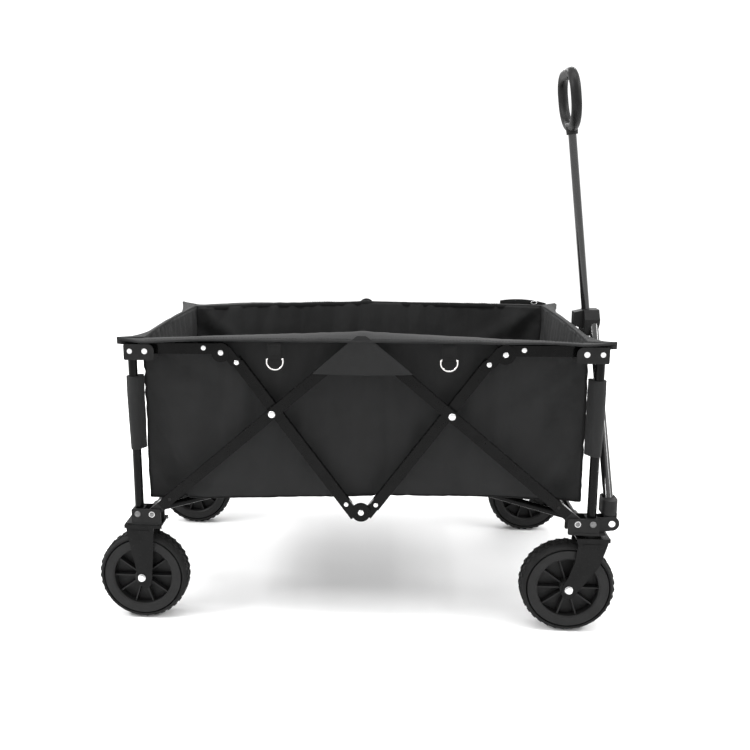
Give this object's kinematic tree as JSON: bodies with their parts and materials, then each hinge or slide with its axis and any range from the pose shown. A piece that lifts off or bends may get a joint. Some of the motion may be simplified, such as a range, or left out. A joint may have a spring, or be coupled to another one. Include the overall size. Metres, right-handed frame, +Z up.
{
  "type": "folding camp wagon",
  "caption": "Folding camp wagon: open cloth basket on two end frames with scissor links along both sides, tread tyres, swivelling front wheels and a tall pull handle.",
  "frame": {"origin": "centre of the bounding box's footprint, at the height where the wheels stand", "axes": "+X towards the handle end, +Y to the left of somebody pulling it, +Z up"},
  "size_m": [0.9931, 0.55, 1.0578],
  "materials": {
    "link_steel": "satin",
    "bracket": "satin",
    "rivet": "polished",
    "tyre": "matte",
    "wheel": "satin",
    "cloth": "matte",
    "webbing": "matte",
    "ring": "polished",
    "grip": "satin",
    "tube": "polished",
    "fork": "satin"
  },
  "bodies": {
    "rear_frame": {"rear_posts": "link_steel", "rear_crossbars": "link_steel", "rear_top_brackets": "bracket", "rear_bottom_brackets": "bracket", "rear_rivets": "rivet", "rear_forks": "fork", "rear_axles": "rivet", "bag_near": "cloth", "bag_far": "cloth", "bag_rear": "cloth", "bag_floor": "cloth"},
    "front_frame": {"front_posts": "link_steel", "front_crossbars": "link_steel", "front_top_brackets": "bracket", "front_bottom_brackets": "bracket", "front_rivets": "rivet", "bag_front": "cloth"},
    "handle_frame": {"handle_legs": "tube", "handle_feet": "bracket", "handle_hub": "bracket"},
    "handle_slide": {"handle_tube": "tube", "handle_grip": "grip"},
    "floor_frame_rear": {"floor_frame_rear": "link_steel"},
    "floor_frame_front": {"floor_frame_front": "link_steel"},
    "straps_rear": {"straps_rear": "webbing"},
    "straps_front": {"straps_front": "webbing"},
    "a_rear_near": {"link_a_rear_near": "link_steel", "plugs_a_rear_near": "bracket"},
    "b_rear_near": {"link_b_rear_near": "link_steel"},
    "rail_rear_near": {"rail_rear_near": "link_steel"},
    "ring_rear_near": {"ring_rear_near": "ring"},
    "wheel_rear_near": {"tyre_rear_near": "tyre", "wheel_rear_near": "wheel"},
    "a_front_near": {"link_a_front_near": "link_steel", "plugs_a_front_near": "bracket"},
    "b_front_near": {"link_b_front_near": "link_steel"},
    "rail_front_near": {"rail_front_near": "link_steel"},
    "ring_front_near": {"ring_front_near": "ring"},
    "wheel_front_near": {"tyre_front_near": "tyre", "wheel_front_near": "wheel"},
    "a_rear_far": {"link_a_rear_far": "link_steel", "plugs_a_rear_far": "bracket"},
    "b_rear_far": {"link_b_rear_far": "link_steel"},
    "rail_rear_far": {"rail_rear_far": "link_steel"},
    "ring_rear_far": {"ring_rear_far": "ring"},
    "wheel_rear_far": {"tyre_rear_far": "tyre", "wheel_rear_far": "wheel"},
    "a_front_far": {"link_a_front_far": "link_steel", "plugs_a_front_far": "bracket"},
    "b_front_far": {"link_b_front_far": "link_steel"},
    "rail_front_far": {"rail_front_far": "link_steel"},
    "ring_front_far": {"ring_front_far": "ring"},
    "wheel_front_far": {"tyre_front_far": "tyre", "wheel_front_far": "wheel"},
    "caster_near": {"caster_fork_near": "fork", "front_axle_near": "rivet"},
    "caster_far": {"caster_fork_far": "fork", "front_axle_far": "rivet"}
  },
  "joints": [
    {"name": "fold", "type": "hinge", "parent": "rear_frame", "child": "a_rear_near", "pos_m": [-0.38395, -0.2592, 0.218], "axis": [0, -1, 0], "range_deg": [0, 40], "deforming": ["bag_near", "bag_far", "bag_floor"]},
    {"name": "top_hinge_near", "type": "hinge", "parent": "a_rear_near", "child": "a_front_near", "pos_m": [0.01605, -0.2592, 0.549], "axis": [0, 1, 0], "range_deg": [0, 80.2]},
    {"name": "fold_front", "type": "hinge", "parent": "a_front_near", "child": "front_frame", "pos_m": [0.41605, -0.2592, 0.218], "axis": [0, -1, 0], "range_deg": [0, 40.2]},
    {"name": "fold_far", "type": "hinge", "parent": "rear_frame", "child": "a_rear_far", "pos_m": [-0.38395, 0.2592, 0.218], "axis": [0, -1, 0], "range_deg": [0, 40.2]},
    {"name": "top_hinge_far", "type": "hinge", "parent": "a_rear_far", "child": "a_front_far", "pos_m": [0.01605, 0.2592, 0.549], "axis": [0, 1, 0], "range_deg": [0, 80.2]},
    {"name": "cross_rear_near", "type": "hinge", "parent": "a_rear_near", "child": "b_rear_near", "pos_m": [-0.14995, -0.2592, 0.4185], "axis": [0, 1, 0], "range_deg": [0, 70.89]},
    {"name": "cross_front_near", "type": "hinge", "parent": "a_front_near", "child": "b_front_near", "pos_m": [0.18205, -0.2592, 0.4185], "axis": [0, -1, 0], "range_deg": [0, 70.89]},
    {"name": "rail_rear_near", "type": "hinge", "parent": "rear_frame", "child": "rail_rear_near", "pos_m": [-0.38395, -0.2465, 0.537], "axis": [0, -1, 0], "range_deg": [0, 79.13]},
    {"name": "rail_front_near", "type": "hinge", "parent": "front_frame", "child": "rail_front_near", "pos_m": [0.41605, -0.2465, 0.537], "axis": [0, 1, 0], "range_deg": [0, 79.13]},
    {"name": "cross_rear_far", "type": "hinge", "parent": "a_rear_far", "child": "b_rear_far", "pos_m": [-0.14995, 0.2592, 0.4185], "axis": [0, 1, 0], "range_deg": [0, 70.89]},
    {"name": "cross_front_far", "type": "hinge", "parent": "a_front_far", "child": "b_front_far", "pos_m": [0.18205, 0.2592, 0.4185], "axis": [0, -1, 0], "range_deg": [0, 70.89]},
    {"name": "rail_rear_far", "type": "hinge", "parent": "rear_frame", "child": "rail_rear_far", "pos_m": [-0.38395, 0.2465, 0.537], "axis": [0, -1, 0], "range_deg": [0, 79.13]},
    {"name": "rail_front_far", "type": "hinge", "parent": "front_frame", "child": "rail_front_far", "pos_m": [0.41605, 0.2465, 0.537], "axis": [0, 1, 0], "range_deg": [0, 79.13]},
    {"name": "floor_rear", "type": "hinge", "parent": "rear_frame", "child": "floor_frame_rear", "pos_m": [-0.38795, 0.221, 0.212], "axis": [0, -1, 0], "range_deg": [0, 78.5]},
    {"name": "floor_front", "type": "hinge", "parent": "front_frame", "child": "floor_frame_front", "pos_m": [0.42005, 0.221, 0.212], "axis": [0, 1, 0], "range_deg": [0, 78.5]},
    {"name": "straps_rear_travel", "type": "slide", "parent": "rear_frame", "child": "straps_rear", "axis": [-1, 0, 0], "range_m": [0, 0.18865]},
    {"name": "straps_front_travel", "type": "slide", "parent": "rear_frame", "child": "straps_front", "axis": [-1, 0, 0], "range_m": [0, 0.42504]},
    {"name": "ring_rear_near_swing", "type": "hinge", "parent": "straps_rear", "child": "ring_rear_near", "pos_m": [-0.14195, -0.2689, 0.524], "axis": [-1, 0, 0], "range_deg": [0, 150]},
    {"name": "ring_rear_far_swing", "type": "hinge", "parent": "straps_rear", "child": "ring_rear_far", "pos_m": [-0.14195, 0.2689, 0.524], "axis": [1, 0, 0], "range_deg": [0, 150]},
    {"name": "ring_front_near_swing", "type": "hinge", "parent": "straps_front", "child": "ring_front_near", "pos_m": [0.17405, -0.2689, 0.524], "axis": [-1, 0, 0], "range_deg": [0, 150]},
    {"name": "ring_front_far_swing", "type": "hinge", "parent": "straps_front", "child": "ring_front_far", "pos_m": [0.17405, 0.2689, 0.524], "axis": [1, 0, 0], "range_deg": [0, 150]},
    {"name": "wheel_rear_near_spin", "type": "hinge", "parent": "rear_frame", "child": "wheel_rear_near", "pos_m": [-0.40895, -0.243, 0.0875], "axis": [0, 1, 0], "continuous": true},
    {"name": "caster_near_swivel", "type": "hinge", "parent": "front_frame", "child": "caster_near", "pos_m": [0.44405, -0.243, 0.187], "axis": [0, 0, 1], "continuous": true},
    {"name": "wheel_front_near_spin", "type": "hinge", "parent": "caster_near", "child": "wheel_front_near", "pos_m": [0.40605, -0.243, 0.0875], "axis": [0, 1, 0], "continuous": true},
    {"name": "wheel_rear_far_spin", "type": "hinge", "parent": "rear_frame", "child": "wheel_rear_far", "pos_m": [-0.40895, 0.243, 0.0875], "axis": [0, 1, 0], "continuous": true},
    {"name": "caster_far_swivel", "type": "hinge", "parent": "front_frame", "child": "caster_far", "pos_m": [0.44405, 0.243, 0.187], "axis": [0, 0, 1], "continuous": true},
    {"name": "wheel_front_far_spin", "type": "hinge", "parent": "caster_far", "child": "wheel_front_far", "pos_m": [0.40605, 0.243, 0.0875], "axis": [0, 1, 0], "continuous": true},
    {"name": "handle_tilt", "type": "hinge", "parent": "front_frame", "child": "handle_frame", "pos_m": [0.47905, 0.251, 0.218], "axis": [0, 1, 0], "range_deg": [0, 95]},
    {"name": "handle_telescope", "type": "slide", "parent": "handle_frame", "child": "handle_slide", "axis": [0.1253, 0, -0.9921], "range_m": [0, 0.26]}
  ],
  "couplings": [
    {"joint": "top_hinge_near", "follows": "fold", "ratio": 2},
    {"joint": "fold_front", "follows": "fold", "ratio": 1},
    {"joint": "fold_far", "follows": "fold", "ratio": 1},
    {"joint": "top_hinge_far", "follows": "fold", "ratio": 2},
    {"joint": "cross_rear_near", "follows": "fold", "ratio": 1.7698},
    {"joint": "cross_front_near", "follows": "fold", "ratio": 1.7698},
    {"joint": "rail_rear_near", "follows": "fold", "ratio": 1.9758},
    {"joint": "rail_front_near", "follows": "fold", "ratio": 1.9758},
    {"joint": "cross_rear_far", "follows": "fold", "ratio": 1.7698},
    {"joint": "cross_front_far", "follows": "fold", "ratio": 1.7698},
    {"joint": "rail_rear_far", "follows": "fold", "ratio": 1.9758},
    {"joint": "rail_front_far", "follows": "fold", "ratio": 1.9758},
    {"joint": "floor_rear", "follows": "fold", "ratio": 1.96},
    {"joint": "floor_front", "follows": "fold", "ratio": 1.96},
    {"joint": "straps_rear_travel", "follows": "fold", "m_per_rad": 0.2695},
    {"joint": "straps_front_travel", "follows": "fold", "m_per_rad": 0.60811}
  ]
}
